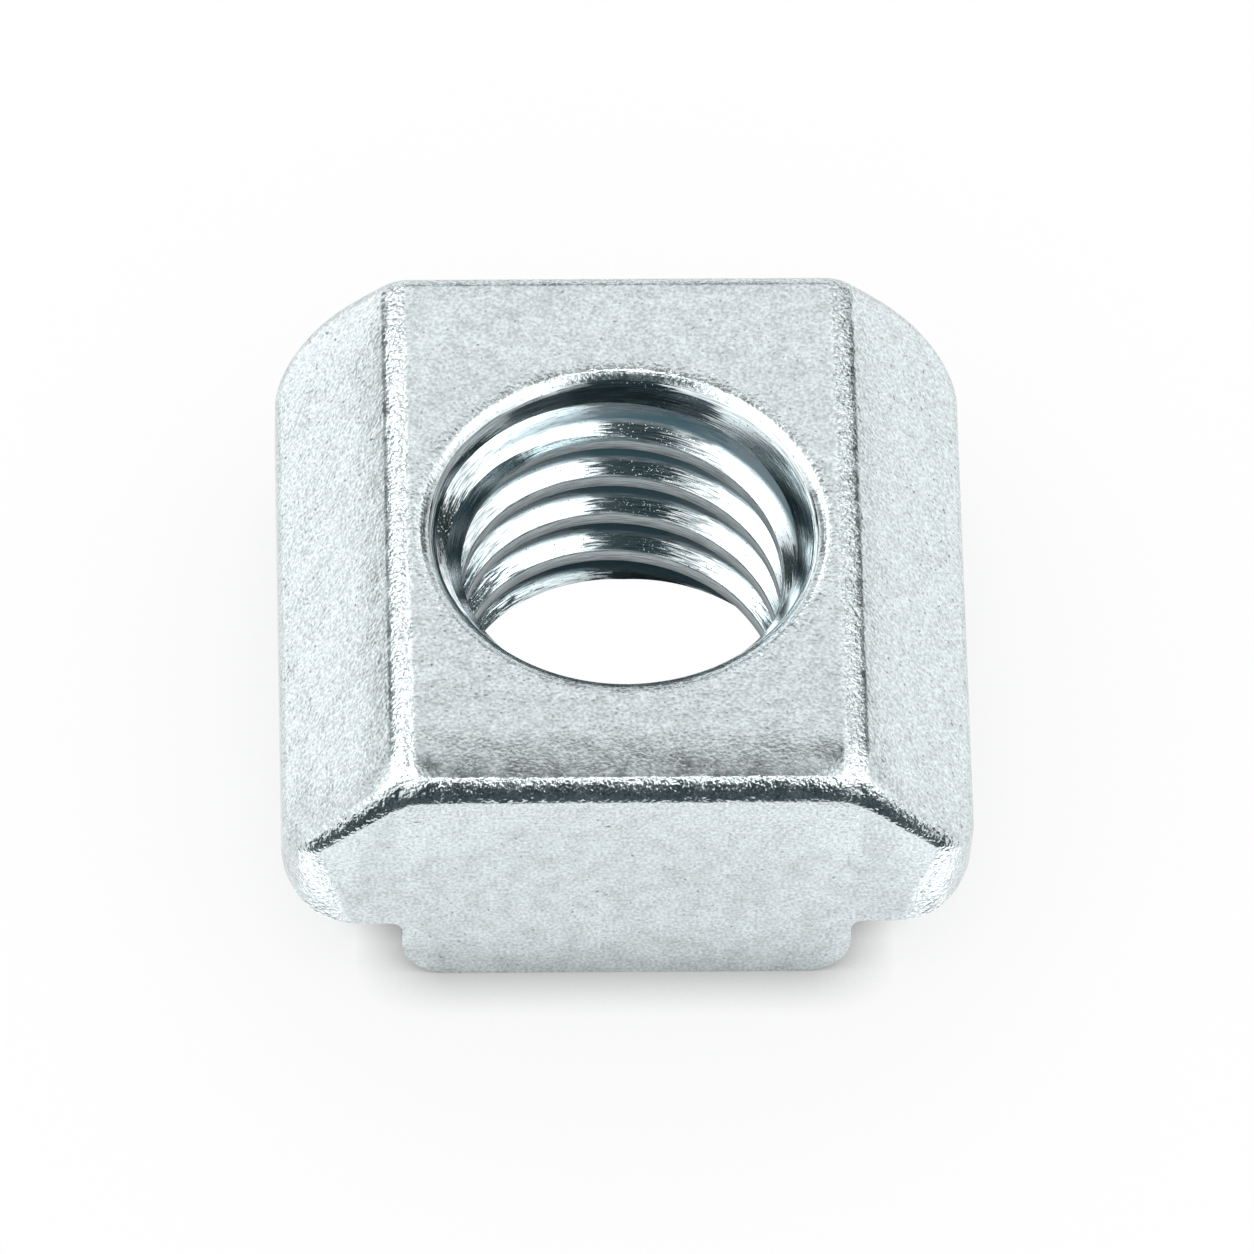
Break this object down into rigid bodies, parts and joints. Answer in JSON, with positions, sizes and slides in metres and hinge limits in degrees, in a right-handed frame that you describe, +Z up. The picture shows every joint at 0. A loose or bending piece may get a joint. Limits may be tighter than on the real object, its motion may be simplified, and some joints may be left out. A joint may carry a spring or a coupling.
{
  "type": "slide nut",
  "caption": "Slide nut for a T-slot rail: a low block with sloped shoulders and bearing wings on a narrower collar, tapped right through.",
  "frame": {"origin": "on the hole's axis, in the plane of the collar's underside, which is the lowest face and the centre of the footprint", "axes": "+X across the slot, +Y along the slot, +Z up along the hole's axis from the collar to the crown"},
  "size_m": [0.0142, 0.0138, 0.0061],
  "materials": {
    "zinc_plated_steel": "satin blue-white zinc plating with a fine grain, brighter where the tap has burnished the thread"
  },
  "bodies": {
    "root": {"slide_nut": "zinc_plated_steel"}
  },
  "joints": []
}
